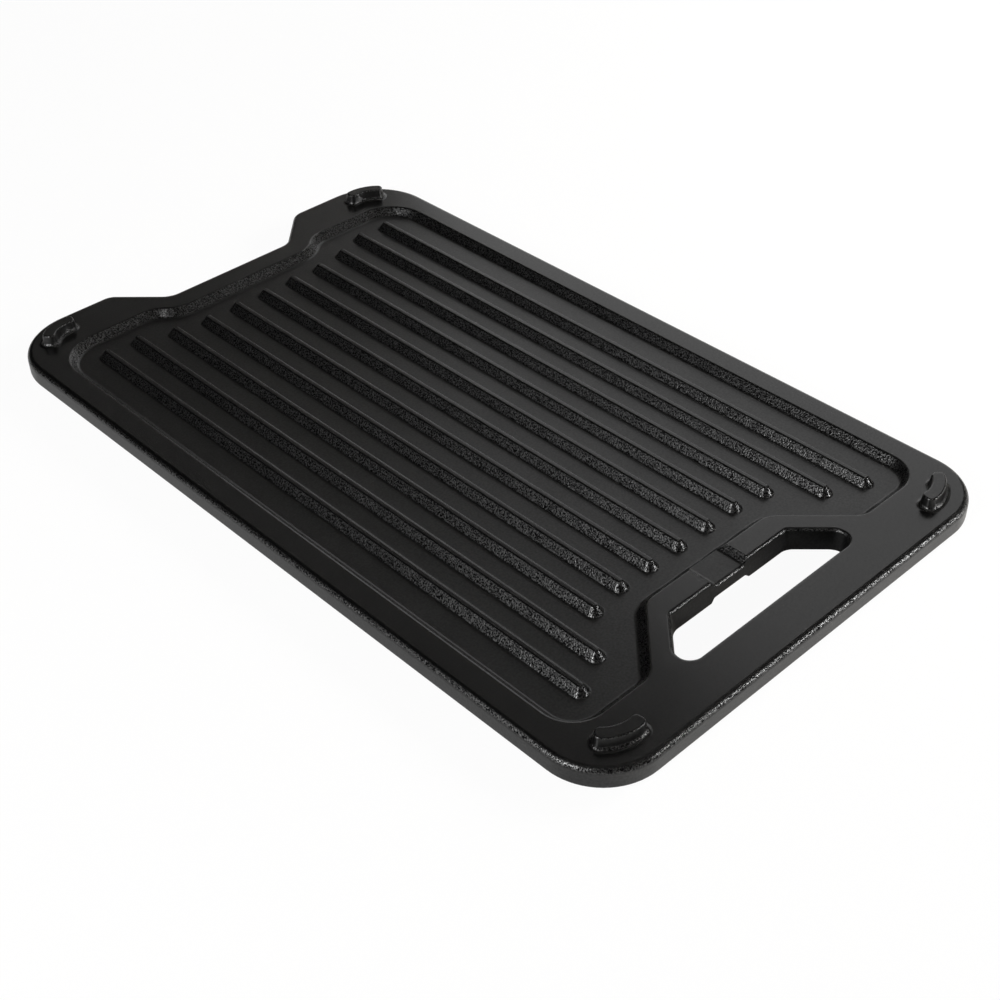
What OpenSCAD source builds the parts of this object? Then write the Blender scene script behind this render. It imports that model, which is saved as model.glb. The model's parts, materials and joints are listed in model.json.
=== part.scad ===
// Reversible cast-iron griddle plate, shown ribbed side up: a plate with a finger slot at one end, a
// notch at the other, a grease drain on each side, and four feet set into its rim.
// +Y runs from the handle end to the notched end, +Z is up, and the origin lies under the middle.

/* [Plate] */
// Length from the handle end to the notched end
plate_l = 480; // [460:1:520]
// Width across the ribs
plate_w = 290; // [280:1:320]
// Thickness at the rim
plate_t = 12; // [11:0.5:15]
// Radius of the two corners at the handle end, seen from above
front_corner_r = 34; // [28:1:38]
// Radius of the two corners at the notched end
rear_corner_r = 40; // [34:1:44]
// Rounding of the outer edge on the ribbed side
top_edge_r = 3.5; // [1.5:0.5:4]
// Rounding of the outer edge on the smooth side
bottom_edge_r = 2; // [1:0.5:4]

/* [Notch] */
// How far the notch reaches into the end
notch_depth = 26.4; // [20:0.2:28]
// Width of the notch between the corners of its floor
notch_w = 89; // [80:1:100]
// Rounding of the two corners at its mouth
notch_mouth_r = 10; // [10:1:14]
// Rounding of the two corners at its floor
notch_floor_r = 11; // [8:1:14]

/* [Finger slot] */
// Bar left as a handle between the slot and the end
handle_w = 26; // [22:1:30]
// Width of the slot, which runs across the plate
slot_w = 28; // [26:1:32]
// Length of the slot along the edge nearer the ribs
slot_l = 86; // [78:1:92]
// Rounding of its two corners beside the handle
slot_tip_r = 7; // [6:0.5:8]
// Rounding of its two corners nearer the ribs
slot_corner_r = 3; // [2.5:0.5:5]
// Rounding of its edge on the ribbed side
slot_edge_r = 2; // [1:0.2:2.4]
// Rounding of its edge on the smooth side
slot_under_r = 0.6; // [0.4:0.2:2.4]

/* [Sunk faces] */
// Depth of the ribbed face below the rim
recess_depth = 5; // [4:0.2:5.6]
// Depth of the smooth face below its own rim
tray_depth = 2.2; // [1.6:0.2:3]
// Rim beside the outermost ribs
side_rim = 15.5; // [14:0.5:18]
// Rim beside the notch
rear_rim = 31.2; // [29:0.2:34]
// Rim beside the finger slot
front_rim = 33.1; // [31:0.2:36]
// Land left between the notch and the sunk face
notch_land = 15.8; // [14:0.2:18]
// Width of that land between its corners
notch_land_w = 100; // [92:1:108]
// Land left between the finger slot and the sunk face
slot_land = 13.8; // [12:0.2:16]
// Width of that land between its corners
slot_land_w = 90; // [84:1:96]
// Rounding of the sunk face's two outer corners at the handle end
recess_front_r = 18.5; // [14:0.5:24]
// Rounding of its two outer corners at the notched end
recess_rear_r = 26; // [18:0.5:30]
// Rounding where the rim steps out to the notch's land
notch_land_r = 17; // [12:0.5:18]
// Rounding where the rim steps out to the slot's land
slot_land_r = 12; // [11:0.5:16]
// Slope of the wall around the sunk faces, in degrees
wall_slope = 50; // [40:1:60]
// Rounding at the top of that wall on the ribbed side
wall_top_r = 2; // [1:0.5:3]
// Fillet at the foot of that wall on the ribbed side
wall_foot_r = 3; // [1.5:0.5:3]
// Rounding at the top of the wall on the smooth side
tray_top_r = 1; // [0.5:0.25:1.5]
// Fillet at the foot of the wall on the smooth side
tray_foot_r = 1.5; // [0.5:0.25:2]

/* [Drains] */
// Width of the drains at the faces of the plate
drain_w = 28; // [20:1:34]
// Depth of the drain on the ribbed side
drain_depth = 3.2; // [2:0.2:4]
// Slope of the drains' sides, in degrees
drain_slope = 40; // [30:1:60]

/* [Ribs] */
// Number of ribs, an odd number so that one lies on the middle line
rib_count = 11; // [9:2:11]
// Distance between neighbouring ribs
rib_pitch = 21.1; // [18:0.1:22]
// Height of the ribs above the sunk face
rib_h = 4.8; // [3:0.2:5.4]
// Width of a rib at its foot, without the fillets
rib_w = 9.6; // [9:0.2:11]
// Slope of a rib's flanks, in degrees
rib_slope = 56; // [54:1:62]
// Rounding of a rib's top edges
rib_top_r = 1.5; // [0.5:0.25:1.75]
// Fillet at a rib's foot
rib_foot_r = 1.5; // [0.5:0.5:2]
// Distance from the straight walls at the notched end to where the ribs' round ends begin
rib_rear_gap = 20.5; // [16:0.5:24]
// The same from the slanted walls there
rib_rear_slant_gap = 21.5; // [16:0.5:26]
// Distance from the straight walls at the handle end to where the ribs' round ends begin
rib_front_gap = 19; // [15:0.5:23]
// The same from the slanted walls there
rib_front_slant_gap = 24; // [16:0.5:28]

/* [Feet] */
// Height of a foot above the rim
foot_h = 6.5; // [5:0.5:9]
// Width of a foot across its arc, without the fillet
foot_w = 9; // [8.5:0.5:11]
// Radius of the arc that a foot follows
foot_arc_r = 19; // [16:0.5:22]
// Angle of that arc, without the rounded ends
foot_span = 56; // [40:2:80]
// Distance of that arc's centre from the end and from the side of the plate
foot_inset = 34.5; // [32:0.5:40]
// Direction of a foot's middle from that centre, from the X axis
foot_at = 70; // [60:0.5:80]
// Rounding of a foot's upright corners
foot_corner_r = 3.75; // [2.5:0.25:4.25]
// Slope of a foot's sides, in degrees
foot_slope = 81; // [79:1:86]
// Rounding of a foot's top edge
foot_top_r = 1; // [0.5:0.25:1.5]
// Fillet at a foot's base
foot_base_r = 1.5; // [0.5:0.25:2]
// Diameter of the two spigots that hold a foot in the rim
spigot_d = 5; // [3:0.5:6]
// Length of the spigots
spigot_l = 6; // [4:0.5:8]
// Gap around a spigot in its socket
spigot_gap = 0.1; // [0.05:0.05:0.2]

/* [Hidden] */

$fn = 96;
// Flat strips in each rounded edge
edge_steps = 4;
// Grid for the points of the edges, so fine that it doesn't show: straight and turned pieces share it
grid = 0.001;
// A turn of 45 degrees is passed on with six digits, which scales it by 1 + slack * slack
slack = 0.00045;
// Overlap of pieces that are joined
lap = 0.05;
// How far a cut runs past the face that it opens on
past = 1;
// Colour of the bare, seasoned iron
iron = [0.16, 0.16, 0.16];

rear_y = plate_l / 2;
slot_outer_y = handle_w - rear_y;
slot_inner_y = slot_outer_y + slot_w;
slot_land_y = slot_inner_y + slot_land;
recess_front_y = front_rim - rear_y;
recess_rear_y = rear_y - rear_rim;
notch_floor_y = rear_y - notch_depth;
notch_land_y = notch_floor_y - notch_land;
recess_x = plate_w / 2 - side_rim;
recess_floor_z = plate_t - recess_depth;
rib_run = rib_h / tan(rib_slope);
foot_run = foot_h / tan(foot_slope);

// Half outlines on the +X side as corners [x, y, rounding], with the inside on the left, from the
// handle end to the notched end. Their slanted stretches all lie at 45 degrees.
plate_path = [
    [0, -rear_y, 0],
    [plate_w / 2, -rear_y, front_corner_r],
    [plate_w / 2, rear_y, rear_corner_r],
    [notch_w / 2 + notch_depth, rear_y, notch_mouth_r],
    [notch_w / 2, notch_floor_y, notch_floor_r],
    [0, notch_floor_y, 0]
];
sunk_path = [
    [0, slot_land_y, 0],
    [slot_land_w / 2, slot_land_y, slot_land_r],
    [slot_land_w / 2 + slot_land_y - recess_front_y, recess_front_y, slot_land_r],
    [recess_x, recess_front_y, recess_front_r],
    [recess_x, recess_rear_y, recess_rear_r],
    [notch_land_w / 2 + recess_rear_y - notch_land_y, recess_rear_y, notch_land_r],
    [notch_land_w / 2, notch_land_y, notch_land_r],
    [0, notch_land_y, 0]
];
slot_path = [
    [0, slot_outer_y, 0],
    [slot_l / 2 + slot_w, slot_outer_y, slot_tip_r],
    [slot_l / 2, slot_inner_y, slot_corner_r],
    [0, slot_inner_y, 0]
];

function snapped(points) = [for (p = points) [round(p.x / grid), round(p.y / grid)] * grid];

// Points along an arc, in degrees
function arc(centre, r, from, to) = [
    for (i = [0:edge_steps]) let (a = from + (to - from) * i / edge_steps) centre + r * [cos(a), sin(a)]
];

// A sloped wall as points [x, z] from its filleted foot up to its rounded top, whose corner is at x = 0
function wall(h, slope, foot_r, top_r) =
    let (run = h / tan(slope), foot_cut = foot_r * tan(slope / 2), top_cut = top_r * tan(slope / 2))
    concat(
        arc([-run - foot_cut, foot_r], foot_r, -90, slope - 90),
        arc([top_cut, h - top_r], top_r, 90 + slope, 90)
    );

// Edges as points [x, z], where x is the distance outwards from the outline
plate_edge = snapped(concat(
    arc([-bottom_edge_r, bottom_edge_r], bottom_edge_r, -90, 0),
    arc([-top_edge_r, plate_t - top_edge_r], top_edge_r, 0, 90)
));
slot_edge = snapped(concat(
    [[slot_under_r, -past]],
    arc([slot_under_r, slot_under_r], slot_under_r, -90, -180),
    arc([slot_edge_r, plate_t - slot_edge_r], slot_edge_r, 180, 90),
    [[slot_edge_r, plate_t + past]]
));
function opened(edge) = concat(edge, [edge[len(edge) - 1] + [0, past]]);
recess_edge = snapped([
    for (p = opened(wall(recess_depth, wall_slope, wall_foot_r, wall_top_r))) [p.x, recess_floor_z + p.y]
]);
tray_edge = snapped([
    for (p = opened(wall(tray_depth, wall_slope, tray_foot_r, tray_top_r))) [p.x, tray_depth - p.y]
]);
rib_edge = snapped([
    for (p = wall(rib_h, rib_slope, rib_foot_r, rib_top_r)) [rib_w / 2 - rib_run - p.x, p.y]
]);
foot_edge = snapped([
    for (p = wall(foot_h, foot_slope, foot_base_r, foot_top_r)) [-foot_run - p.x, p.y]
]);
// How far an edge reaches inwards from its outline
function reach(edge) = -min([for (p = edge) p.x]);

// What the outline does at its corners: heading, turn, and the length that a rounding takes off
function flat(p) = [p.x, p.y];
function heading(path, i) = let (d = flat(path[i + 1]) - flat(path[i])) d / norm(d);
function turn(path, i) =
    i == 0 || i == len(path) - 1 ? 0 :
    let (a = heading(path, i - 1), b = heading(path, i)) atan2(a.x * b.y - a.y * b.x, a * b);
function taken(path, i) = path[i].z * tan(abs(turn(path, i)) / 2);
function run(path, i) =
    norm(flat(path[i + 1]) - flat(path[i])) - taken(path, i) - taken(path, i + 1);

// The outline's straight stretches, moved inwards, as the corners of a polygon
function inset_ends(path, inset) = [
    for (i = [0:len(path) - 2])
        let (d = heading(path, i), inwards = inset * [-d.y, d.x])
        each [
            flat(path[i]) + d * taken(path, i) + inwards,
            flat(path[i + 1]) - d * taken(path, i + 1) + inwards
        ]
];

function closed(edge, depth) = concat([[-depth, edge[0].y]], edge, [[-depth, edge[len(edge) - 1].y]]);

// A turn that is true to more than six digits
module true_turn(angle) {
    k = angle % 90 == 0 ? 0 : slack;
    scale(1 + k) scale(1 - k) rotate(angle) children();
}

// Sweeps an edge along half an outline from its stretch i on, each piece set on the end of the last
module band(path, edge, depth, i = 0) {
    last = i == len(path) - 2;
    length = run(path, i) + (last ? lap : 0);
    r = path[i + 1].z;
    angle = turn(path, i + 1);
    side = sign(angle);
    translate([0, length, 0]) {
        rotate([90, 0, 0]) linear_extrude(length) polygon(closed(edge, depth));
        if (!last) translate([-side * r, 0, 0]) {
            true_turn(side > 0 ? 0 : 180 + angle)
                rotate_extrude(angle = abs(angle))
                    polygon([
                        for (p = closed(edge, side > 0 ? min(r, depth) : depth)) [r + side * p.x, p.y]
                    ]);
            true_turn(angle) translate([side * r, 0, 0]) band(path, edge, depth, i + 1);
        }
    }
}

// A solid with that outline and edge: two bands, deeper than its widest rounding, and a filled middle
module outline_solid(path, edge) {
    low = min(edge[0].y, edge[len(edge) - 1].y);
    high = max(edge[0].y, edge[len(edge) - 1].y);
    depth = reach(edge) + max([for (p = path) p.z]);
    half = inset_ends(path, reach(edge) + lap);
    for (side = [0, 1])
        mirror([side, 0, 0]) translate(flat(path[0])) rotate(-90) band(path, edge, depth);
    translate([0, 0, low])
        linear_extrude(high - low)
            polygon(concat(half, [for (i = [len(half) - 2:-1:1]) [-half[i].x, half[i].y]]));
}

// Where a rib at x stops before a stepped wall: the wall's land reaches land_y up to land_x, turns back
// by 45 degrees there, and runs on at side_y
function rib_stop(x, land_x, land_y, side_y, gap, slant_gap) =
    let (
        into = sign(land_y - side_y),
        slant = into * land_y + land_x + slant_gap * sqrt(2) - abs(x)
    )
    into * max(into * side_y + gap, min(into * land_y + gap, slant));

module rib(x) {
    front = rib_stop(x, slot_land_w / 2, slot_land_y, recess_front_y, rib_front_gap, rib_front_slant_gap);
    rear = rib_stop(x, notch_land_w / 2, notch_land_y, recess_rear_y, rib_rear_gap, rib_rear_slant_gap);
    half = concat([[0, -past], [rib_edge[0].x, -past]], rib_edge, [[0, rib_h]]);
    translate([x, rear, 0]) {
        rotate_extrude(angle = 180) polygon(half);
        rotate([90, 0, 0]) linear_extrude(rear - front) {
            polygon(half);
            mirror([1, 0]) polygon(half);
        }
    }
    translate([x, front, 0]) rotate(180) rotate_extrude(angle = 180) polygon(half);
}

// A drain of trapezoid section along Y, from the wall of the sunk face into the finger slot
module drain(depth) {
    half = drain_w / 2;
    foot = half - depth / tan(drain_slope);
    flare = past / tan(drain_slope);
    length = slot_land + reach(recess_edge);
    translate([0, slot_inner_y + length, 0])
        rotate([90, 0, 0])
            linear_extrude(length + slot_w / 2)
                polygon([[-foot, -depth], [foot, -depth], [half + flare, past], [-half - flare, past]]);
}

// The spigots' places on a foot, and a foot's place, with its arc centred on the origin
module at_spigots() {
    for (a = [-foot_span / 4, foot_span / 4]) rotate(a) translate([foot_arc_r, 0, 0]) children();
}

module at_foot(x_side, y_side) {
    mirror([x_side < 0 ? 1 : 0, 0, 0])
        mirror([0, y_side < 0 ? 1 : 0, 0])
            translate([plate_w / 2 - foot_inset, rear_y - foot_inset, plate_t])
                rotate(foot_at)
                    children();
}

module griddle_plate() {
    color(iron) difference() {
        union() {
            difference() {
                outline_solid(plate_path, plate_edge);
                outline_solid(sunk_path, recess_edge);
            }
            for (i = [0:rib_count - 1])
                translate([0, 0, recess_floor_z]) rib((i - (rib_count - 1) / 2) * rib_pitch);
        }
        outline_solid(sunk_path, tray_edge);
        outline_solid(slot_path, slot_edge);
        translate([0, 0, plate_t]) drain(drain_depth);
        mirror([0, 0, 1]) drain(tray_depth);
        for (x = [-1, 1], y = [-1, 1])
            at_foot(x, y) at_spigots() translate([0, 0, -spigot_l - spigot_gap])
                cylinder(d = spigot_d + 2 * spigot_gap, h = spigot_l + spigot_gap + past);
    }
}

// A foot as two halves, each an arc of its cross-section and a squared end with rounded corners
module foot(x_side, y_side) {
    straight = foot_w / 2 - foot_corner_r;
    ring = concat(
        [for (p = foot_edge) [foot_arc_r + foot_w / 2 + p.x, p.y]],
        [for (i = [len(foot_edge) - 1:-1:0]) [foot_arc_r - foot_w / 2 - foot_edge[i].x, foot_edge[i].y]]
    );
    end = concat([[0, 0]], [for (p = foot_edge) [foot_corner_r + p.x, p.y]], [[0, foot_h]]);
    color(iron) at_foot(x_side, y_side) {
        for (side = [0, 1]) mirror([0, side, 0]) rotate(foot_span / 2) {
            mirror([0, 1, 0]) rotate_extrude(angle = foot_span / 2 + lap) polygon(ring);
            translate([foot_arc_r - straight, 0, 0])
                rotate([90, 0, 90]) linear_extrude(2 * straight) polygon(end);
            for (x = [0, 1])
                translate([foot_arc_r, 0, 0]) mirror([x, 0, 0]) translate([straight, 0, 0])
                    rotate_extrude(angle = 90) polygon(end);
        }
        at_spigots() translate([0, 0, -spigot_l]) cylinder(d = spigot_d, h = spigot_l + past);
    }
}

griddle_plate();
foot(-1, -1);  // foot_front_left
foot(1, -1);  // foot_front_right
foot(-1, 1);  // foot_rear_left
foot(1, 1);  // foot_rear_right
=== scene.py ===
# %% [markdown]
# # A reversible griddle plate of cast iron, lying ribbed side up
#
# The plate is one flat casting: a rim all round, a sunk face with eleven ribs, a finger slot at the
# handle end and a notch at the other. Four small arc-shaped feet stand on the rim. The lesson models
# the casting the way a pattern maker thinks of it: flat outlines first, then walls pressed up or down
# from them, each with its draft angle and its roundings. The CAD model stays loaded as the frame, so
# every size that matters can be read from it.

import json
import math

import bpy
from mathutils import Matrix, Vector

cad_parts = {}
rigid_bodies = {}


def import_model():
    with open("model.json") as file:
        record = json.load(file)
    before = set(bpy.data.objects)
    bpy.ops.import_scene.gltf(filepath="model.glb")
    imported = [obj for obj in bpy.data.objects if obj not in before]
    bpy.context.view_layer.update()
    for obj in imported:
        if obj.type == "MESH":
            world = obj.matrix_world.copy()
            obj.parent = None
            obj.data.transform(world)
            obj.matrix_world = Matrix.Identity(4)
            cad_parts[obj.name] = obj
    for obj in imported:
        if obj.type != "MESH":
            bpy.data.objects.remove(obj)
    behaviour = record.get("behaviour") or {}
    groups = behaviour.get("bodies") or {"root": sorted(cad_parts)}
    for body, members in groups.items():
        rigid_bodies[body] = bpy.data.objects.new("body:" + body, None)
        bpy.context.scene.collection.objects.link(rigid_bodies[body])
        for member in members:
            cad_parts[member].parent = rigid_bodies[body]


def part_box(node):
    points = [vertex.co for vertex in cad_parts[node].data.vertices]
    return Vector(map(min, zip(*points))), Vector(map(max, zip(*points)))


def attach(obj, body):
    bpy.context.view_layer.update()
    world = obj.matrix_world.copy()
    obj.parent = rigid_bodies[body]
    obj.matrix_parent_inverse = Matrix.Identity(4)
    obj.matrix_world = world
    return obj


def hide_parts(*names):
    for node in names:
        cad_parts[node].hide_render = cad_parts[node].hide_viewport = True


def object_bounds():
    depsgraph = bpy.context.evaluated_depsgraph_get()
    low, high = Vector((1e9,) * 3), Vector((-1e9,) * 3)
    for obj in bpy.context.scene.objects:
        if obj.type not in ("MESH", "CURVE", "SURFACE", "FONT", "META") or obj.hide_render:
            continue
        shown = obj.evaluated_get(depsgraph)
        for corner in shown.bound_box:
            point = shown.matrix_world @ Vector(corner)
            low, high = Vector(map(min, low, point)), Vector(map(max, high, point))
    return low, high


MM = 0.001

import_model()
cad_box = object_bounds()
plate_low, plate_high = (Vector(corner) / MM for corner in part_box("griddle_plate"))
plate_w, plate_l, plate_t = plate_high - plate_low
rear_y = plate_l / 2
print("plate in mm:", round(plate_w, 2), round(plate_l, 2), round(plate_t, 2))

# %% [markdown]
# ## Selecting in code
#
# By hand you click on what the next operator should act on. A script has no mouse, so it says which
# vertices, edges or faces it wants by their place or their normal. The second helper here leaves edit
# mode to set the selection and goes back in, because the flags are only read on the way in.

# %% Helpers that select
MOSTLY = 0.9    # a face points along an axis when its normal has at least this much of it


def pick(piece):
    """Selects one piece alone and makes it the active one."""
    bpy.ops.object.select_all(action="DESELECT")
    piece.select_set(True)
    bpy.context.view_layer.objects.active = piece


def select(piece, kind, wanted):
    """Goes into edit mode with only the wanted vertices, edges or faces of one piece selected."""
    if bpy.context.object and bpy.context.object.mode == "EDIT":
        bpy.ops.object.mode_set(mode="OBJECT")
    pick(piece)
    bpy.ops.object.mode_set(mode="EDIT")
    bpy.ops.mesh.select_mode(type=kind)
    bpy.ops.mesh.select_all(action="DESELECT")
    bpy.ops.object.mode_set(mode="OBJECT")
    mesh = piece.data
    for element in {"VERT": mesh.vertices, "EDGE": mesh.edges, "FACE": mesh.polygons}[kind]:
        element.select = wanted(element)
    bpy.ops.object.mode_set(mode="EDIT")


def leave_edit_mode():
    """Goes back to object mode with nothing selected."""
    bpy.ops.object.mode_set(mode="OBJECT")
    bpy.ops.object.select_all(action="DESELECT")


print("selected after loading:", len(bpy.context.selected_objects), "CAD nodes, so deselect first")

# %% [markdown]
# ## Flat outlines with rounded corners
#
# Everything on this casting starts as a flat outline: the plate, the sunk face, the slot. An outline
# could be drawn as a curve, but a filled circle with as many points as the outline has corners is
# simpler: each point is put on its corner, and a vertex bevel rounds it. A bevel is told how far along
# the two edges it starts, which for a radius r and a turn t is r * tan(t / 2). Where two roundings meet,
# a bevel stops 0.05 mm short of the other's end, and the two points are merged.

# %% A helper for outlines
FACET = math.radians(5)  # the turn of one straight piece in a rounding
SAME = 0.001 * MM        # lengths below this count as none
TOUCH = 0.1 * MM         # ends of roundings that are this close are one point


def corner_turns(corners):
    """How far the outline turns at each corner, positive to the left."""
    flat = [Vector(corner[:2]) for corner in corners]
    turns = []
    for i, point in enumerate(flat):
        before = point - flat[i - 1]
        after = flat[(i + 1) % len(flat)] - point
        turns.append(-before.angle_signed(after))
    return turns


def grown(corners, by):
    """The same outline, moved outwards by a distance in mm."""
    flat = [Vector(corner[:2]) for corner in corners]
    moved = []
    for i, turn in enumerate(corner_turns(corners)):
        before = (flat[i] - flat[i - 1]).normalized()
        after = (flat[(i + 1) % len(flat)] - flat[i]).normalized()
        outwards = Vector((before.y + after.y, -before.x - after.x)) / (1 + before.dot(after))
        x, y = flat[i] + by * outwards
        moved.append((x, y, corners[i][2] + math.copysign(by, turn)))
    return moved


def both_halves(right_half):
    """A closed outline from its right half, which runs from the handle end to the notched end."""
    return right_half + [(-x, y, r) for x, y, r in reversed(right_half)]


def outline_face(name, corners, z, faces_up=True):
    """A flat face from corners (x, y, rounding) in mm, counter-clockwise seen from above."""
    bpy.ops.object.select_all(action="DESELECT")
    bpy.ops.mesh.primitive_circle_add(vertices=len(corners), fill_type="NGON")
    piece = bpy.context.object
    piece.name = name
    for vertex, (x, y, _) in zip(piece.data.vertices, corners):
        vertex.co = (x * MM, y * MM, z * MM)
    for (x, y, r), turn in zip(corners, corner_turns(corners)):
        place = Vector((x, y, z)) * MM
        select(piece, "VERT", lambda vertex: (vertex.co - place).length < SAME)
        bpy.ops.mesh.bevel(
            affect="VERTICES", offset=r * math.tan(abs(turn) / 2) * MM,
            segments=max(2, round(abs(turn) / FACET)), clamp_overlap=False,
        )
    select(piece, "FACE", lambda face: True)
    bpy.ops.mesh.remove_doubles(threshold=TOUCH)
    if (piece.data.polygons[0].normal.z > 0) != faces_up:
        bpy.ops.mesh.flip_normals()
    return piece


square = [(0, 0, 2), (10, 0, 2), (10, 10, 2), (0, 10, 2)]
print("first corner of a 10 mm square grown by 1 mm:", grown(square, 1)[0])

# %% [markdown]
# ## Walls with draft and roundings
#
# Sand moulds need walls that lean, or the pattern tears the sand when it is drawn out, and molten iron
# fills round corners better than sharp ones. So every wall here is a fillet, a slope and a rounding.
# Inset does this well: each step moves the face inwards and along its normal at once, and a row of
# small steps follows an arc. The heading says which way the wall goes: 0 degrees is flat, 90 is straight
# along the normal.

# %% A helper for walls
def arc_steps(r, start, end, count=7):
    """Steps (inwards, along the normal) of an arc whose heading goes from start to end, in degrees."""
    headings = [math.radians(start + (end - start) * i / count) for i in range(count + 1)]
    sense = math.copysign(r, end - start)
    return [
        (sense * (math.sin(b) - math.sin(a)), sense * (math.cos(a) - math.cos(b)))
        for a, b in zip(headings, headings[1:])
    ]


def wall_steps(height, slope, first_r, second_r):
    """A sloped wall between two roundings. A negative height goes into the metal."""
    heading = math.copysign(slope, height)
    sloped = abs(height) - (first_r + second_r) * (1 - math.cos(math.radians(slope)))
    straight = (sloped / math.tan(math.radians(slope)), math.copysign(sloped, height))
    return arc_steps(first_r, 0, heading) + [straight] + arc_steps(second_r, heading, 0)


def press(steps):
    """Insets the selected face step by step."""
    for inwards, along in steps:
        bpy.ops.mesh.inset(thickness=inwards * MM, depth=along * MM)


def wall_lip(slope, r):
    """How far the rounding at a wall's end reaches past the corner that it rounds."""
    return r * math.tan(math.radians(slope) / 2)


print("steps of a wall 5 mm high at 50 degrees:", len(wall_steps(5, 50, 2, 3)))

# %% [markdown]
# ## The body of the plate
#
# A griddle plate of this size is a slab about 12 mm thick. The outline is extruded to the height of its
# straight sides, and then the top and the bottom face are pressed in along a quarter arc, which leaves
# the soft outer edge. A bevel on the slab would do the same, but it would have to turn round the notch's
# inner corners, where insets behave better.

# %% Model the body
front_corner_r = 34
rear_corner_r = 40
top_edge_r = 3.5
bottom_edge_r = 2
notch_depth = 26.4
notch_w = 89
notch_mouth_r = 10
notch_floor_r = 11
notch_floor_y = rear_y - notch_depth

plate_outline = both_halves([
    (plate_w / 2, -rear_y, front_corner_r),
    (plate_w / 2, rear_y, rear_corner_r),
    (notch_w / 2 + notch_depth, rear_y, notch_mouth_r),
    (notch_w / 2, notch_floor_y, notch_floor_r),
])
plate = outline_face("griddle_plate_casting", plate_outline, bottom_edge_r)
side_h = plate_t - top_edge_r - bottom_edge_r
bpy.ops.mesh.extrude_region_move(TRANSFORM_OT_translate={"value": (0, 0, side_h * MM)})
bpy.ops.mesh.select_all(action="SELECT")
bpy.ops.mesh.normals_make_consistent(inside=False)
select(plate, "FACE", lambda face: face.normal.z > MOSTLY)
press(arc_steps(top_edge_r, 90, 0))
select(plate, "FACE", lambda face: face.normal.z < -MOSTLY)
press(arc_steps(bottom_edge_r, 90, 0))
leave_edit_mode()
print("body:", len(plate.data.polygons), "faces")

# %% [markdown]
# ## The sunk faces
#
# The ribbed face lies 5 mm below the rim, so that fat runs off the ribs without running over the edge.
# The smooth face on the other side is sunk a little too. Both have the same outline, which steps round
# the slot and the notch. A boolean could cut them out of the slab, but it leaves no clean loops for the
# roundings. So each is a sheet of its own for now: a face at the rim's level, pressed into the metal.

# %% Model the sunk faces
recess_depth = 5
tray_depth = 2.2
side_rim = 15.5
rear_rim = 31.2
front_rim = 33.1
notch_land = 15.8
notch_land_w = 100
slot_land = 13.8
slot_land_w = 90
recess_front_r = 18.5
recess_rear_r = 26
notch_land_r = 17
slot_land_r = 12
wall_slope = 50
wall_top_r = 2
wall_foot_r = 3
tray_top_r = 1
tray_foot_r = 1.5
handle_w = 26
slot_w = 28

slot_outer_y = handle_w - rear_y
slot_inner_y = slot_outer_y + slot_w
slot_land_y = slot_inner_y + slot_land
recess_front_y = front_rim - rear_y
recess_rear_y = rear_y - rear_rim
notch_land_y = notch_floor_y - notch_land
recess_x = plate_w / 2 - side_rim
recess_floor_z = plate_t - recess_depth

sunk_outline = both_halves([
    (slot_land_w / 2, slot_land_y, slot_land_r),
    (slot_land_w / 2 + slot_land_y - recess_front_y, recess_front_y, slot_land_r),
    (recess_x, recess_front_y, recess_front_r),
    (recess_x, recess_rear_y, recess_rear_r),
    (notch_land_w / 2 + recess_rear_y - notch_land_y, recess_rear_y, notch_land_r),
    (notch_land_w / 2, notch_land_y, notch_land_r),
])
recess = outline_face("recess", grown(sunk_outline, wall_lip(wall_slope, wall_top_r)), plate_t)
press(wall_steps(-recess_depth, wall_slope, wall_top_r, wall_foot_r))
leave_edit_mode()
tray = outline_face("tray", grown(sunk_outline, wall_lip(wall_slope, tray_top_r)), 0, faces_up=False)
press(wall_steps(-tray_depth, wall_slope, tray_top_r, tray_foot_r))
leave_edit_mode()
print("sunk faces in mm:", [round(side / MM, 1) for side in recess.dimensions])

# %% [markdown]
# ## The finger slot
#
# Fingers go through the slot, so its upper edge is soft. The core that leaves the hole in the mould has
# draft too: the slot is narrower below, and its inner corners are rounder there. It could be a tapered
# cutter, but two funnels, one from each side, keep their own roundings. They are bridged later, and the
# bridge is the leaning wall.

# %% Model the finger slot's two funnels
slot_l = 86
slot_tip_r = 7
slot_corner_r = 3
slot_foot_corner_r = 8
slot_edge_r = 2
slot_under_r = 0.6
slot_draft = 1.6        # how much narrower the slot is below, on each side

# The tip of the slot turns by 135 degrees, so it is cut across first and rounded as two corners
tip_turn = math.radians(135)
tip_cut = slot_tip_r * (math.tan(tip_turn / 2) - math.tan(tip_turn / 4))
slot_tip_x = slot_l / 2 + slot_w


def slot_outline(inner_corner_r):
    """The slot's outline, with a rounding at its inner corners."""
    return both_halves([
        (slot_tip_x - tip_cut, slot_outer_y, slot_tip_r),
        (slot_tip_x - tip_cut / math.sqrt(2), slot_outer_y + tip_cut / math.sqrt(2), slot_tip_r),
        (slot_l / 2, slot_inner_y, inner_corner_r),
    ])


slot_top = outline_face("slot_top", grown(slot_outline(slot_corner_r), slot_edge_r), plate_t)
press(arc_steps(slot_edge_r, 0, -90))
leave_edit_mode()
slot_foot = grown(slot_outline(slot_foot_corner_r), slot_under_r - slot_draft)
slot_under = outline_face("slot_under", slot_foot, 0, faces_up=False)
press(arc_steps(slot_under_r, 0, -90))
leave_edit_mode()
print("slot in mm:", [round(side / MM - 2 * slot_edge_r, 1) for side in slot_top.dimensions[:2]])

# %% [markdown]
# ## The ribs
#
# The ribs lift the food off the fat and give the sear marks. Each one is a stadium: a circle whose front
# half is moved away, with walls pressed up from it. They stop short of the sunk face's wall, and where
# that wall steps round the slot and the notch, the ribs' ends follow it, which gives the fan of lengths.

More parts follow.
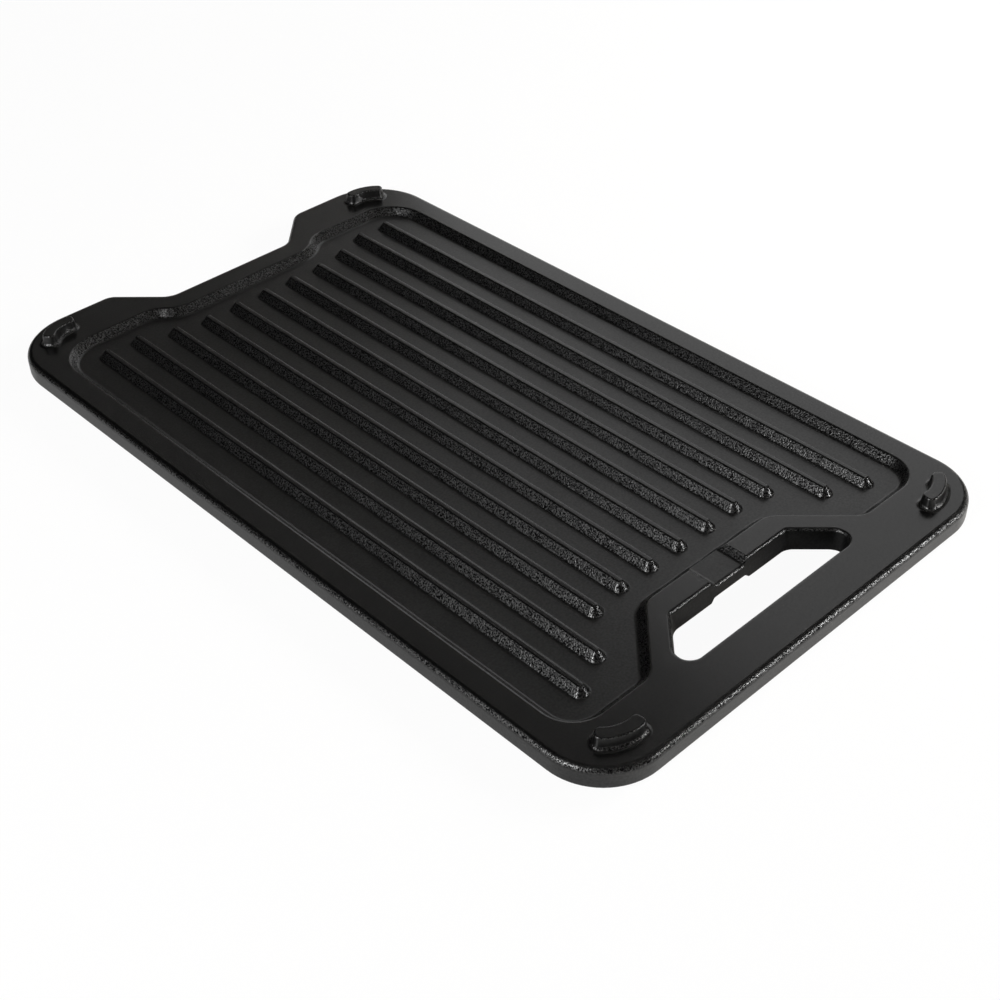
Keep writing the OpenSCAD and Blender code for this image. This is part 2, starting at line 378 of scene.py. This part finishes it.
# %% Model the ribs
rib_count = 11
rib_pitch = 21.1
rib_h = 4.8
rib_w = 9.6
rib_slope = 56
rib_top_r = 1.7
rib_foot_r = 1.5
rib_rear_gap = 20.5
rib_rear_slant_gap = 21.5
rib_front_gap = 19
rib_front_slant_gap = 24
RIB_POINTS = 40


def rib_stop(x, land_x, land_y, side_y, gap, slant_gap):
    """Where a rib stops before a wall that lies at land_y up to land_x and then turns back to side_y."""
    into = math.copysign(1, land_y - side_y)
    slant = into * land_y + land_x + slant_gap * math.sqrt(2) - abs(x)
    return into * max(into * side_y + gap, min(into * land_y + gap, slant))


ribs = []
for i in range(rib_count):
    x = (i - (rib_count - 1) / 2) * rib_pitch
    front = rib_stop(x, slot_land_w / 2, slot_land_y, recess_front_y, rib_front_gap, rib_front_slant_gap)
    rear = rib_stop(x, notch_land_w / 2, notch_land_y, recess_rear_y, rib_rear_gap, rib_rear_slant_gap)
    bpy.ops.object.select_all(action="DESELECT")
    bpy.ops.mesh.primitive_circle_add(
        vertices=RIB_POINTS, radius=(rib_w / 2 + wall_lip(rib_slope, rib_foot_r)) * MM, fill_type="NGON",
        location=(x * MM, rear * MM, recess_floor_z * MM), rotation=(0, 0, math.pi / RIB_POINTS),
    )
    bpy.ops.object.transform_apply(location=True, rotation=True, scale=True)
    rib = bpy.context.object
    rib.name = "rib"
    select(rib, "VERT", lambda vertex: vertex.co.y < rear * MM)
    bpy.ops.transform.translate(value=(0, (front - rear) * MM, 0))
    select(rib, "FACE", lambda face: True)
    if rib.data.polygons[0].normal.z < 0:
        bpy.ops.mesh.flip_normals()
    press(wall_steps(rib_h, rib_slope, rib_foot_r, rib_top_r))
    leave_edit_mode()
    ribs.append(rib)
print("ribs:", len(ribs))

# %% [markdown]
# ## One object from many sheets
#
# The casting is one piece of metal, so the slab, the sunk faces, the funnels and the ribs become one mesh.
# A boolean union would need closed solids, and all but the slab are sheets with an open edge. Joining puts
# them into one object and doesn't connect them yet.

# %% Join the sheets
pick(plate)
for sheet in [recess, tray, slot_top, slot_under] + ribs:
    sheet.select_set(True)
bpy.ops.object.join()


def open_edges():
    """The edges that only one face uses."""
    uses = {}
    for face in plate.data.polygons:
        for key in face.edge_keys:
            uses[key] = uses.get(key, 0) + 1
    return {key for key, count in uses.items() if count == 1}


print("joined:", len(plate.data.polygons), "faces,", len(open_edges()), "open edges")

# %% [markdown]
# ## One closed skin
#
# The sheets meet in three planes: the rim, the sunk floor and the rim of the smooth side. In each plane
# the big many-sided faces are taken out, and Fill spans the metal between the loops that are left. It
# treats a loop inside another as a hole, which is what the slot and the ribs' feet are. Then only the two
# funnels are open, and a bridge between them is the slot's leaning wall.

# %% Take out the lids and fill between the loops
def is_lid(face):
    """Whether a many-sided face stands in the way: all do but the smooth floor and the ribs' tops."""
    lids = [0, slot_under_r, recess_floor_z, plate_t - slot_edge_r, plate_t]
    return len(face.vertices) > 4 and any(abs(face.center.z - z * MM) < SAME for z in lids)


def at_height(z):
    """A test for edges that lie flat at a height in mm."""
    vertices = plate.data.vertices
    return lambda edge: all(abs(vertices[i].co.z - z * MM) < SAME for i in edge.vertices)


select(plate, "FACE", is_lid)
bpy.ops.mesh.delete(type="ONLY_FACE")
bpy.ops.object.mode_set(mode="OBJECT")
for z in [plate_t, recess_floor_z, 0]:
    open_now = open_edges()
    flat_here = at_height(z)
    select(plate, "EDGE", lambda edge: edge.key in open_now and flat_here(edge))
    bpy.ops.mesh.fill()
    bpy.ops.object.mode_set(mode="OBJECT")
open_now = open_edges()
select(plate, "EDGE", lambda edge: edge.key in open_now)
bpy.ops.mesh.bridge_edge_loops()
bpy.ops.mesh.select_all(action="SELECT")
bpy.ops.mesh.remove_doubles(threshold=SAME)
bpy.ops.mesh.normals_make_consistent(inside=False)
leave_edit_mode()
print("plate:", len(plate.data.polygons), "faces,", len(open_edges()), "open edges")

# %% [markdown]
# ## The grease drains
#
# On each side a shallow channel leads from the sunk face into the slot. It has sloped sides and rounded
# inner corners. It could be a part of the sunk face's outline, but on the ribbed side its floor lies higher
# than the floor between the ribs. So a bar gets the channel's section, to be taken away from the plate.

# %% Shape a bar with the drain's section
drain_w = 28
drain_depth = 3.2
drain_slope = 40
drain_corner_r = 2.5
drain_lean = 1 / math.tan(math.radians(drain_slope))
PAST = 1        # how far a cutter stands out of the face that it opens


def drain_bar(depth, z, up, mouth_y):
    """A bar of trapezoid section from the slot's edge to the sunk face, rounded along its floor."""
    length = slot_land_y + wall_lip(wall_slope, wall_foot_r) + recess_depth - mouth_y
    top_w = drain_w + 2 * PAST * drain_lean
    floor_w = drain_w - 2 * depth * drain_lean
    bpy.ops.object.select_all(action="DESELECT")
    bpy.ops.mesh.primitive_cube_add(
        size=1, location=(0, (mouth_y + length / 2) * MM, (z + up * (PAST - depth) / 2) * MM),
        scale=(top_w * MM, length * MM, (depth + PAST) * MM),
    )
    bpy.ops.object.transform_apply(location=True, rotation=True, scale=True)
    bar = bpy.context.object
    vertices = bar.data.vertices
    floor_z = (z - up * depth) * MM
    select(bar, "VERT", lambda vertex: abs(vertex.co.z - floor_z) < SAME)
    bpy.ops.transform.resize(value=(floor_w / top_w, 1, 1))
    bpy.ops.object.mode_set(mode="OBJECT")

    def is_long_floor_edge(edge):
        """Whether an edge runs along the bar's floor."""
        one, other = (vertices[i].co for i in edge.vertices)
        on_floor = abs(one.z - floor_z) < SAME and abs(other.z - floor_z) < SAME
        return on_floor and abs(one.x - other.x) < SAME

    select(bar, "EDGE", is_long_floor_edge)
    bpy.ops.mesh.bevel(offset=wall_lip(drain_slope, drain_corner_r) * MM, segments=5)
    bpy.ops.object.mode_set(mode="OBJECT")
    return bar


print("drain's floor in mm:", round(drain_w - 2 * drain_depth * drain_lean, 1), "wide")

# %% [markdown]
# ## The drains' mouths
#
# At the slot the channel's floor rolls over like the slot's own edge. A bevel on the finished plate would
# have to follow a broken edge, so the end of the bar is flared by small extrusions that grow along an arc.
# A boolean then takes the bar away, and finds the curved lines where the channel runs out through the wall
# and the slot's edge.

# %% Flare the mouths and cut the drains
SHY = 0.02      # keeps the lower drain's floor out of the plane of the smooth floor


def cut_drain(depth, z, up, mouth_r):
    """Takes a channel with a flared mouth out of the land between the sunk face and the slot."""
    drafted_h = plate_t - slot_edge_r - slot_under_r
    mouth_drop = abs(plate_t - slot_edge_r - (z - up * (depth + mouth_r)))
    mouth_y = slot_inner_y - slot_draft * mouth_drop / drafted_h + mouth_r - SHY
    bar = drain_bar(depth, z, up, mouth_y)
    floor_w = drain_w - 2 * depth * drain_lean
    height = depth + PAST
    select(bar, "FACE", lambda face: face.normal.y < -MOSTLY)
    open_side = Vector((0, mouth_y, z + up * PAST)) * MM
    for forward, wider in arc_steps(mouth_r, 0, 90) + [(slot_w / 2, 0)]:
        bpy.ops.mesh.extrude_region_move(TRANSFORM_OT_translate={"value": (0, -forward * MM, 0)})
        open_side.y -= forward * MM
        grow = ((floor_w + wider) / floor_w, 1, (height + wider) / height)
        bpy.ops.transform.resize(value=grow, center_override=open_side)
        floor_w += wider
        height += wider
    bpy.ops.object.mode_set(mode="OBJECT")
    pick(plate)
    cut = plate.modifiers.new("drain", "BOOLEAN")
    cut.operation = "DIFFERENCE"
    cut.object = bar
    bpy.ops.object.modifier_apply(modifier=cut.name)
    bpy.data.objects.remove(bar)


cut_drain(drain_depth, plate_t, up=1, mouth_r=slot_edge_r)
cut_drain(tray_depth - SHY, 0, up=-1, mouth_r=slot_under_r)
print("plate with drains:", len(plate.data.polygons), "faces,", len(open_edges()), "open edges")

# %% [markdown]
# ## The feet
#
# Turned over, the plate stands on four short arcs at its corners. One foot is modelled. Its outline has
# only six corners: an arc that runs on into straight ends is the same thing as one corner with a large
# rounding, so the outer and the inner arc are a corner each. Then the sides are pressed up. A foot starts
# a little below the rim's surface, so that the two skins cross and no gap can show.

# %% Model one foot
foot_w = 9
foot_arc_r = 19
foot_span = math.radians(56)
foot_inset = 34.5
foot_at = math.radians(70)
foot_corner_r = 3.75
foot_slope = 81
foot_top_r = 1
foot_base_r = 2.5
foot_root = 1

foot_h = cad_box[1][2] / MM - plate_t
arc_centre = Vector((plate_w / 2 - foot_inset, rear_y - foot_inset))


def foot_corner(angle, r, past_end, rounding):
    """A corner at a radius and an angle from the foot's middle, carried past the arc's end."""
    at = foot_at + angle
    along = Vector((-math.sin(at), math.cos(at))) * math.copysign(past_end, angle)
    x, y = arc_centre + Vector((math.cos(at), math.sin(at))) * r + along
    return (x, y, rounding)


outer_r = foot_arc_r + foot_w / 2
inner_r = foot_arc_r - foot_w / 2
half_span = foot_span / 2
foot_outline = [
    foot_corner(0, outer_r / math.cos(half_span), 0, outer_r),
    foot_corner(half_span, outer_r, foot_corner_r, foot_corner_r),
    foot_corner(half_span, inner_r, foot_corner_r, foot_corner_r),
    foot_corner(0, inner_r / math.cos(half_span), 0, inner_r),
    foot_corner(-half_span, inner_r, foot_corner_r, foot_corner_r),
    foot_corner(-half_span, outer_r, foot_corner_r, foot_corner_r),
]
foot_base = grown(foot_outline, wall_lip(foot_slope, foot_base_r))
foot = outline_face("foot_rear_right_casting", foot_base, plate_t - foot_root)
bpy.ops.mesh.extrude_region_move(TRANSFORM_OT_translate={"value": (0, 0, foot_root * MM)})
bpy.ops.mesh.select_all(action="SELECT")
bpy.ops.mesh.normals_make_consistent(inside=False)
select(foot, "FACE", lambda face: face.normal.z > MOSTLY)
press(wall_steps(foot_h, foot_slope, foot_base_r, foot_top_r))
leave_edit_mode()
print("foot:", len(foot.data.polygons), "faces, height in mm", round(foot_h, 2))

# %% [markdown]
# ## The other feet
#
# The feet are alike, mirrored from corner to corner. A Mirror modifier would leave all four in one object,
# and each foot is a piece of its own, so the first is duplicated with its mesh and scaled by -1. That can
# turn a shape inside out, so the normals are recalculated.

# %% Copy the foot to the other corners
feet = {"foot_rear_right": foot}
for name, mirror_x, mirror_y in [
    ("foot_rear_left", -1, 1), ("foot_front_right", 1, -1), ("foot_front_left", -1, -1),
]:
    pick(foot)
    bpy.ops.object.duplicate()
    copy = bpy.context.object
    copy.name = name + "_casting"
    copy.scale = (mirror_x, mirror_y, 1)
    bpy.ops.object.transform_apply(location=True, rotation=True, scale=True)
    select(copy, "FACE", lambda face: True)
    bpy.ops.mesh.normals_make_consistent(inside=False)
    leave_edit_mode()
    feet[name] = copy
print("feet:", sorted(feet))

# %% [markdown]
# ## Smooth shading
#
# The roundings are rows of narrow strips. Smooth shading blends them, but it would also bend the light on
# the flat faces beside them. Edges sharper than the angle stay hard, and weighted normals let the large
# faces decide, so that flats look flat and the roundings run smoothly out of them.

# %% Shade the castings
sharp_from = math.radians(32)
castings = {"griddle_plate": plate, **feet}
for piece in castings.values():
    pick(piece)
    bpy.ops.object.shade_smooth_by_angle(angle=sharp_from)
    weighted = piece.modifiers.new("flat faces decide", "WEIGHTED_NORMAL")
    weighted.mode = "FACE_AREA"
    weighted.weight = 100
    weighted.keep_sharp = True
    bpy.ops.object.modifier_apply(modifier=weighted.name)
print("shaded:", len(castings), "castings, sharp from", round(math.degrees(sharp_from)), "degrees")

# %% [markdown]
# ## Seasoned cast iron
#
# The iron is cast in sand and then coated with oil that is baked on. The oil turns to a thin, hard, black
# film, so the surface reflects like a varnish and not like bare metal: a dielectric with an index of about
# 1.5 over a nearly black ground. A metallic shader would be wrong here, because it would tint and brighten
# every reflection. All patterns read Object coordinates, which are metres, so a size in millimetres gives
# the scale of a noise directly. The helpers come first: one for colours, one for nodes, one for sizes.

# %% Helpers for colours and nodes
def linear(hex_colour):
    """An sRGB hex colour as linear RGBA."""
    parts = [int(hex_colour[i:i + 2], 16) / 255 for i in (1, 3, 5)]
    return [c / 12.92 if c <= 0.04045 else ((c + 0.055) / 1.055) ** 2.4 for c in parts] + [1]


def add_node(tree, kind, settings=(), inputs=()):
    """Adds a node, sets its properties, and sets or links its inputs."""
    node = tree.nodes.new(kind)
    for name, value in dict(settings).items():
        setattr(node, name, value)
    for name, value in dict(inputs).items():
        if isinstance(value, bpy.types.NodeSocket):
            tree.links.new(value, node.inputs[name])
        else:
            node.inputs[name].default_value = value
    return node


def per_metre(size_mm):
    """The scale of a noise whose features are about this many millimetres across."""
    return 1 / (size_mm * MM)


iron_black = "#090909"
print("iron black in linear light:", [round(c, 4) for c in linear(iron_black)])

# %% [markdown]
# ## Flat and steep faces
#
# What lies flat on a casting is rubbed in use, and what stands steep keeps its skin. The normal's upright
# part says how flat a face lies: 1 on the rims, 0 on the outer sides, and without its sign the same on both
# sides of the plate. Flat and steep faces could have two materials, but then the roundings between them
# would show a seam.

# %% Start the cast iron
cast_iron = bpy.data.materials.new("seasoned cast iron")
cast_iron.use_nodes = True
tree = cast_iron.node_tree
shader = tree.nodes["Principled BSDF"]
shader.inputs["Base Color"].default_value = linear(iron_black)
shader.inputs["IOR"].default_value = 1.5
flat_above, steep_below = 0.97, 0.75    # of the normal's upright part
place = add_node(tree, "ShaderNodeTexCoord")
facing = add_node(tree, "ShaderNodeSeparateXYZ", inputs={"Vector": place.outputs["Normal"]})
flatness = add_node(tree, "ShaderNodeMath", {"operation": "ABSOLUTE"}, {0: facing.outputs["Z"]}).outputs[0]
steepness = add_node(tree, "ShaderNodeMapRange", inputs={
    "Value": flatness, "From Min": flat_above, "From Max": steep_below, "To Min": 0, "To Max": 1,
}).outputs["Result"]
print("material:", cast_iron.name)

# %% [markdown]
# ## The film of oil
#
# The film isn't even, so a slow noise lets the roughness wander a little. What stands proud is rubbed by
# cloths and shelves and shines more: the rims, the tops of the ribs and the feet. A mask painted by hand
# would do, but the height above or below the plate's middle says the same. Steep faces are out of reach of
# the rubbing, and stay a little duller than the film.

# %% Give the film its roughness
mottle_mm = 40                              # size of the uneven places in the film
noise_low, noise_high = 0.3, 0.7            # nearly all values of a noise lie between these
film_roughness = (0.28, 0.33)
rubbed_from, rubbed_to = 4 * MM, 5.5 * MM   # distance from the plate's middle where the rubbing sets in
rubbed_off = 0.1                            # how much smoother the rubbed flats are
dulled = 0.02                               # how much rougher the walls beside them are

mottle = add_node(tree, "ShaderNodeTexNoise", inputs={
    "Vector": place.outputs["Object"], "Scale": per_metre(mottle_mm), "Detail": 3,
})
film = add_node(tree, "ShaderNodeMapRange", inputs={
    "Value": mottle.outputs["Fac"], "From Min": noise_low, "From Max": noise_high,
    "To Min": film_roughness[0], "To Max": film_roughness[1],
})
height = add_node(tree, "ShaderNodeSeparateXYZ", inputs={"Vector": place.outputs["Object"]})
above_middle = add_node(tree, "ShaderNodeMath", {"operation": "SUBTRACT"}, {
    0: height.outputs["Z"], 1: plate_t / 2 * MM,
})
from_middle = add_node(tree, "ShaderNodeMath", {"operation": "ABSOLUTE"}, {0: above_middle.outputs[0]})
polish = add_node(tree, "ShaderNodeMapRange", inputs={
    "Value": steepness, "To Min": rubbed_off, "To Max": -dulled,
})
rubbed = add_node(tree, "ShaderNodeMapRange", inputs={
    "Value": from_middle.outputs[0], "From Min": rubbed_from, "From Max": rubbed_to,
    "To Min": 0, "To Max": polish.outputs["Result"],
})
roughness = add_node(tree, "ShaderNodeMath", {"operation": "SUBTRACT"}, {
    0: film.outputs["Result"], 1: rubbed.outputs["Result"],
})
tree.links.new(roughness.outputs[0], shader.inputs["Roughness"])
print("rubbed faces lie more than", rubbed_to / MM, "mm from the plate's middle")

# %% [markdown]
# ## The sand grain
#
# The mould's sand leaves its grain in the iron. Flat faces are rubbed and show it faintly, and upright
# sides are ground where the halves of the mould met. On the walls that lean, such as the ribs' flanks, it
# stays coarse. Modelled grain would take millions of faces, and a bump gives the eye the same.

# %% Lift the grain
fine_grain_mm = 1.2         # rubbed grain on the flats
coarse_grain_mm = 0.8       # grain on the walls, drawn coarser than the sand so that it shows
fine_grain_h = 0.1 * MM
coarse_grain_h = 0.22 * MM
fine_strength = 0.2
left_on_flats = 0.04        # how much of the coarse grain the rubbing leaves
upright_below, leaning_above = 0.2, 0.45    # of the normal's upright part

fine = add_node(tree, "ShaderNodeTexNoise", inputs={
    "Vector": place.outputs["Object"], "Scale": per_metre(fine_grain_mm), "Detail": 2,
})
coarse = add_node(tree, "ShaderNodeTexNoise", inputs={
    "Vector": place.outputs["Object"], "Scale": per_metre(coarse_grain_mm), "Detail": 1, "Roughness": 0.5,
})
leaning = add_node(tree, "ShaderNodeMapRange", inputs={
    "Value": flatness, "From Min": upright_below, "From Max": leaning_above, "To Min": 0, "To Max": 1,
})
sandy = add_node(tree, "ShaderNodeMath", {"operation": "MULTIPLY"}, {
    0: steepness, 1: leaning.outputs["Result"],
})
fine_bump = add_node(tree, "ShaderNodeBump", inputs={
    "Height": fine.outputs["Fac"], "Strength": fine_strength, "Distance": fine_grain_h,
})
coarse_strength = add_node(tree, "ShaderNodeMapRange", inputs={
    "Value": sandy.outputs[0], "To Min": left_on_flats, "To Max": 1,
})
coarse_bump = add_node(tree, "ShaderNodeBump", inputs={
    "Height": coarse.outputs["Fac"], "Strength": coarse_strength.outputs["Result"],
    "Distance": coarse_grain_h, "Normal": fine_bump.outputs["Normal"],
})
tree.links.new(coarse_bump.outputs["Normal"], shader.inputs["Normal"])
print("grain in mm:", fine_grain_mm, "on flats,", coarse_grain_mm, "on walls")

# %% [markdown]
# ## The glitter
#
# The film lies on the grains' tops and misses the pits between them, so a grainy wall glitters. The noise
# that lifts the grain also says how much is reflected there. The flats do the same faintly, which keeps
# them from looking like plastic.

# %% Let the grain glitter
even_film = 0.5             # specular level of an unbroken film
flat_glitter = 0.09         # how far the flats go above and below it
brightest_top = 1.6
pits, tops = 0.38, 0.7      # noise values where the film is missing and where it is brightest

glint = add_node(tree, "ShaderNodeMapRange", inputs={
    "Value": coarse.outputs["Fac"], "From Min": pits, "From Max": tops,
    "To Min": 0, "To Max": brightest_top,
})
faint_glint = add_node(tree, "ShaderNodeMapRange", inputs={
    "Value": fine.outputs["Fac"], "From Min": noise_low, "From Max": noise_high,
    "To Min": even_film - flat_glitter, "To Max": even_film + flat_glitter,
})
shine = add_node(tree, "ShaderNodeMapRange", inputs={
    "Value": sandy.outputs[0], "To Min": faint_glint.outputs["Result"], "To Max": glint.outputs["Result"],
})
tree.links.new(shine.outputs["Result"], shader.inputs["Specular IOR Level"])
print("reflection on walls: 0 to", round(brightest_top / even_film, 1), "times that of an even film")

# %% [markdown]
# ## On the frame
#
# Each casting now takes the place of its CAD solid. The solids stay for collisions, and the castings are
# what is seen. Nothing on the plate moves, so all five ride on the one body.

# %% Put the castings on the frame
for node, piece in castings.items():
    piece.data.materials.clear()
    piece.data.materials.append(cast_iron)
    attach(piece, "root")
    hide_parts(node)
    print(piece.name, "stands for", node)

# %% [markdown]
# ## The floor
#
# The plate lies on a sheet of white paper that is larger than the view. Studios let such a sheet curve up
# behind the object, but the camera looks down here and never sees the bend, so a flat one is enough.

# %% Lay the floor
floor_size = 12
paper_white = "#fafafa"
paper_roughness = 0.9


def matt_material(name, hex_colour, roughness):
    """A plain matt material for the things round the plate."""
    material = bpy.data.materials.new(name)
    material.use_nodes = True
    matt = material.node_tree.nodes["Principled BSDF"]
    matt.inputs["Base Color"].default_value = linear(hex_colour)
    matt.inputs["Roughness"].default_value = roughness
    return material


bpy.ops.object.select_all(action="DESELECT")
bpy.ops.mesh.primitive_plane_add(size=floor_size, location=(0, 0, 0))
floor = bpy.context.object
floor.name = "white_sweep"
white_paper = matt_material("white paper", paper_white, paper_roughness)
floor.data.materials.append(white_paper)
print("floor:", floor_size, "m square")

# %% [markdown]
# ## The paper's glow
#
# Paper lit just so that it looks white would need so much light that the iron turns grey. So the paper
# glows a little by itself, but only for rays that are looked at, straight or in a mirror. The rest of it
# is plain matt paper, which keeps the plate's shadow.

# %% Let the paper glow
mirrored_glow = 0.4     # share of the paper's white that is its own where it is looked at
seen_glow = 0.55        # what the camera sees on top of that


def looked_at(tree, rays):
    """1 for rays from the camera, from a mirror or through glass, and 0 for those that light things."""
    seen = add_node(tree, "ShaderNodeMath", {"operation": "MAXIMUM"}, {
        0: rays.outputs["Is Camera Ray"], 1: rays.outputs["Is Glossy Ray"],
    })
    seen = add_node(tree, "ShaderNodeMath", {"operation": "MAXIMUM"}, {
        0: seen.outputs[0], 1: rays.outputs["Is Transmission Ray"],
    })
    return seen.outputs[0]


tree = white_paper.node_tree
rays = add_node(tree, "ShaderNodeLightPath")
glow = add_node(tree, "ShaderNodeMath", {"operation": "MULTIPLY"}, {
    0: looked_at(tree, rays), 1: mirrored_glow,
})
glow = add_node(tree, "ShaderNodeMath", {"operation": "MULTIPLY_ADD"}, {
    0: rays.outputs["Is Camera Ray"], 1: seen_glow, 2: glow.outputs[0],
})
white = add_node(tree, "ShaderNodeEmission", inputs={"Color": (1, 1, 1, 1), "Strength": 1})
mix = add_node(tree, "ShaderNodeMixShader", inputs={
    0: glow.outputs[0], 1: tree.nodes["Principled BSDF"].outputs["BSDF"], 2: white.outputs["Emission"],
})
tree.links.new(mix.outputs["Shader"], tree.nodes["Material Output"].inputs["Surface"])
print("paper's own white:", round(mirrored_glow + seen_glow, 2), "seen,", mirrored_glow, "mirrored")

# %% [markdown]
# ## Painted shade under the slot
#
# The walls of the finger slot mirror what lies below them, and over white paper they look far too pale. The
# floor under the plate lies in shade, so a grey sheet there is painted shade, seen only in those walls. It
# has the slot's own outline, and the camera doesn't see it, so the slot still shows the white floor.

# %% Lay a grey sheet of painted shade under the slot
paper_lift = 0.1
# painted shade: this grey stands in for the shade under the plate, which the slot's walls mirror
painted_shade_grey = "#a0a0a0"
slot_shade_sheet = outline_face("slot_shade_sheet", slot_foot, paper_lift)
leave_edit_mode()
slot_shade_sheet.visible_camera = False
slot_shade_sheet.data.materials.append(matt_material("painted shade sheet", painted_shade_grey, paper_roughness))
print("painted shade sheet in mm:", [round(side / MM, 1) for side in slot_shade_sheet.dimensions[:2]])

# %% [markdown]
# ## The room
#
# Black iron shows little colour of its own. What the eye reads is what it mirrors, so the light is built
# as a small studio and not as a few lamps. The room is white where it is looked at, straight or in a
# mirror, and lights things less than that, so that the pale parts don't burn out.

# %% Light the room
room_light = 0.6
world = bpy.data.worlds.new("studio")
bpy.context.scene.world = world
world.use_nodes = True
tree = world.node_tree
tree.nodes.clear()
rays = add_node(tree, "ShaderNodeLightPath")
room = add_node(tree, "ShaderNodeBackground", inputs={"Color": (1, 1, 1, 1), "Strength": room_light})
backdrop = add_node(tree, "ShaderNodeBackground", inputs={"Color": (1, 1, 1, 1), "Strength": 1})
mix = add_node(tree, "ShaderNodeMixShader", inputs={
    0: looked_at(tree, rays), 1: room.outputs["Background"], 2: backdrop.outputs["Background"],
})
add_node(tree, "ShaderNodeOutputWorld", inputs={"Surface": mix.outputs["Shader"]})
print("room light:", room_light)

# %% [markdown]
# ## The soft boxes
#
# Two small soft boxes draw the bright lines along the left and the front edge. Point lamps would draw only
# dots there. A third lamp brightens the floor in front, whose reflection lifts the plate's front side. That
# lamp itself isn't mirrored, because its own spot would show.

# %% Set up the soft boxes
lamp_distance = 1.3
warm_white = (1, 0.95, 0.88)


def from_plate(azimuth, elevation, distance):
    """A point seen from the plate's middle, in degrees from +X towards +Y and up, and metres."""
    az, el = math.radians(azimuth), math.radians(elevation)
    return Vector((math.cos(el) * math.cos(az), math.cos(el) * math.sin(az), math.sin(el))) * distance


def soft_box(name, azimuth, elevation, width, height, watts):
    """A rectangular lamp that points at the plate."""
    place = from_plate(azimuth, elevation, lamp_distance)
    bpy.ops.object.light_add(type="AREA", location=place)
    lamp = bpy.context.object
    lamp.name = name
    lamp.rotation_euler = place.to_track_quat("Z", "Y").to_euler()
    lamp.data.shape = "RECTANGLE"
    lamp.data.size = width
    lamp.data.size_y = height
    lamp.data.energy = watts
    print(name, "at", [round(c, 2) for c in place], "m,", watts, "W")
    return lamp


soft_box("left_soft_box", azimuth=188, elevation=28, width=0.4, height=0.3, watts=8.5)
soft_box("front_soft_box", azimuth=-53.5, elevation=14, width=0.22, height=0.12, watts=5.1)
floor_light = soft_box("floor_light", azimuth=-20, elevation=20, width=0.5, height=0.3, watts=22)
floor_light.visible_glossy = False
floor_light.data.color = warm_white

# %% [markdown]
# ## The tent
#
# Over all this hangs a tent, a half sphere of cloth, which the camera doesn't see. The flat faces mirror
# it, so its windows and its dark side give the plate the slow change from black at the rear left to grey
# at the front right. Cards on stands could do it, but the iron would mirror the gaps between them. A plain
# sphere is cut open for a large window on the right, whose upper edge slopes, and a low one on the left.

# %% Hang the tent
tent_r = 1.5
tent_rings = 64
right_window = (math.radians(6), math.radians(52))          # azimuths
right_window_sill = (math.radians(12), math.radians(10))    # up to this azimuth it starts at this elevation
right_window_edge = Vector((1, -0.18, -0.69))               # normal of the sloping plane above it
left_window = (math.radians(151), math.radians(200))
left_window_top = math.radians(50)

bpy.ops.object.select_all(action="DESELECT")
bpy.ops.mesh.primitive_uv_sphere_add(segments=2 * tent_rings, ring_count=tent_rings, radius=tent_r)
tent = bpy.context.object
tent.name = "light_tent"


def is_window(face):
    """Whether light comes in here: under a sloping edge on the right, and low on the left."""
    centre = face.center
    azimuth = math.atan2(centre.y, centre.x)
    elevation = math.asin(centre.z / centre.length)
    over_sill = azimuth > right_window_sill[0] or elevation > right_window_sill[1]
    under_edge = centre.dot(right_window_edge) > 0
    on_the_right = right_window[0] < azimuth < right_window[1] and over_sill and under_edge
    on_the_left = left_window[0] < azimuth % math.tau < left_window[1] and elevation < left_window_top
    return on_the_right or on_the_left


select(tent, "FACE", lambda face: face.center.z < 0 or is_window(face))
bpy.ops.mesh.delete(type="FACE")
leave_edit_mode()
tent.visible_camera = False
print("tent:", len(tent.data.polygons), "faces left")

# %% [markdown]
# ## The tent's cloths
#
# Most of the tent is grey. At the rear left it is black, which keeps the plate's rear end dark, and a strip
# of paler cloth beside the right window softens the window's edge. Three tents could hang side by side, but
# each face of one mesh can have a material of its own.

# %% Choose the cloths
pale_strip = (right_window[1], math.radians(62))
pale_strip_top = tent_r * math.sin(math.radians(38))
black_side = (math.radians(80), math.radians(155))

cloths = {"grey cloth": "#747474", "black cloth": "#141414", "pale cloth": "#909090"}
for name, colour in cloths.items():
    tent.data.materials.append(matt_material(name, colour, roughness=1))
for face in tent.data.polygons:
    azimuth = math.atan2(face.center.y, face.center.x)
    if black_side[0] < azimuth < black_side[1]:
        face.material_index = list(cloths).index("black cloth")
    elif pale_strip[0] < azimuth < pale_strip[1] and face.center.z < pale_strip_top:
        face.material_index = list(cloths).index("pale cloth")
print("cloths:", ", ".join(cloths))

# %% [markdown]
# ## The camera
#
# The camera stands at the handle end, to the left of the plate and a little above it. Its place and its
# lens follow from the plate's straight edges: where parallel edges meet in the picture gives the lens and
# the tilt, and the plate's size gives the distance.

# %% Set the camera
camera_place = Vector((-470.9, -526.3, 517.1)) * MM
camera_turn = [math.radians(angle) for angle in (51.146, 0.797, -43.948)]
bpy.ops.object.camera_add(location=camera_place, rotation=camera_turn)
camera = bpy.context.object
camera.data.sensor_width = 36
camera.data.lens = 57.37
bpy.context.scene.camera = camera
bpy.context.scene.view_settings.view_transform = "Standard"
print("camera:", round(camera_place.length, 3), "m from the plate's middle")
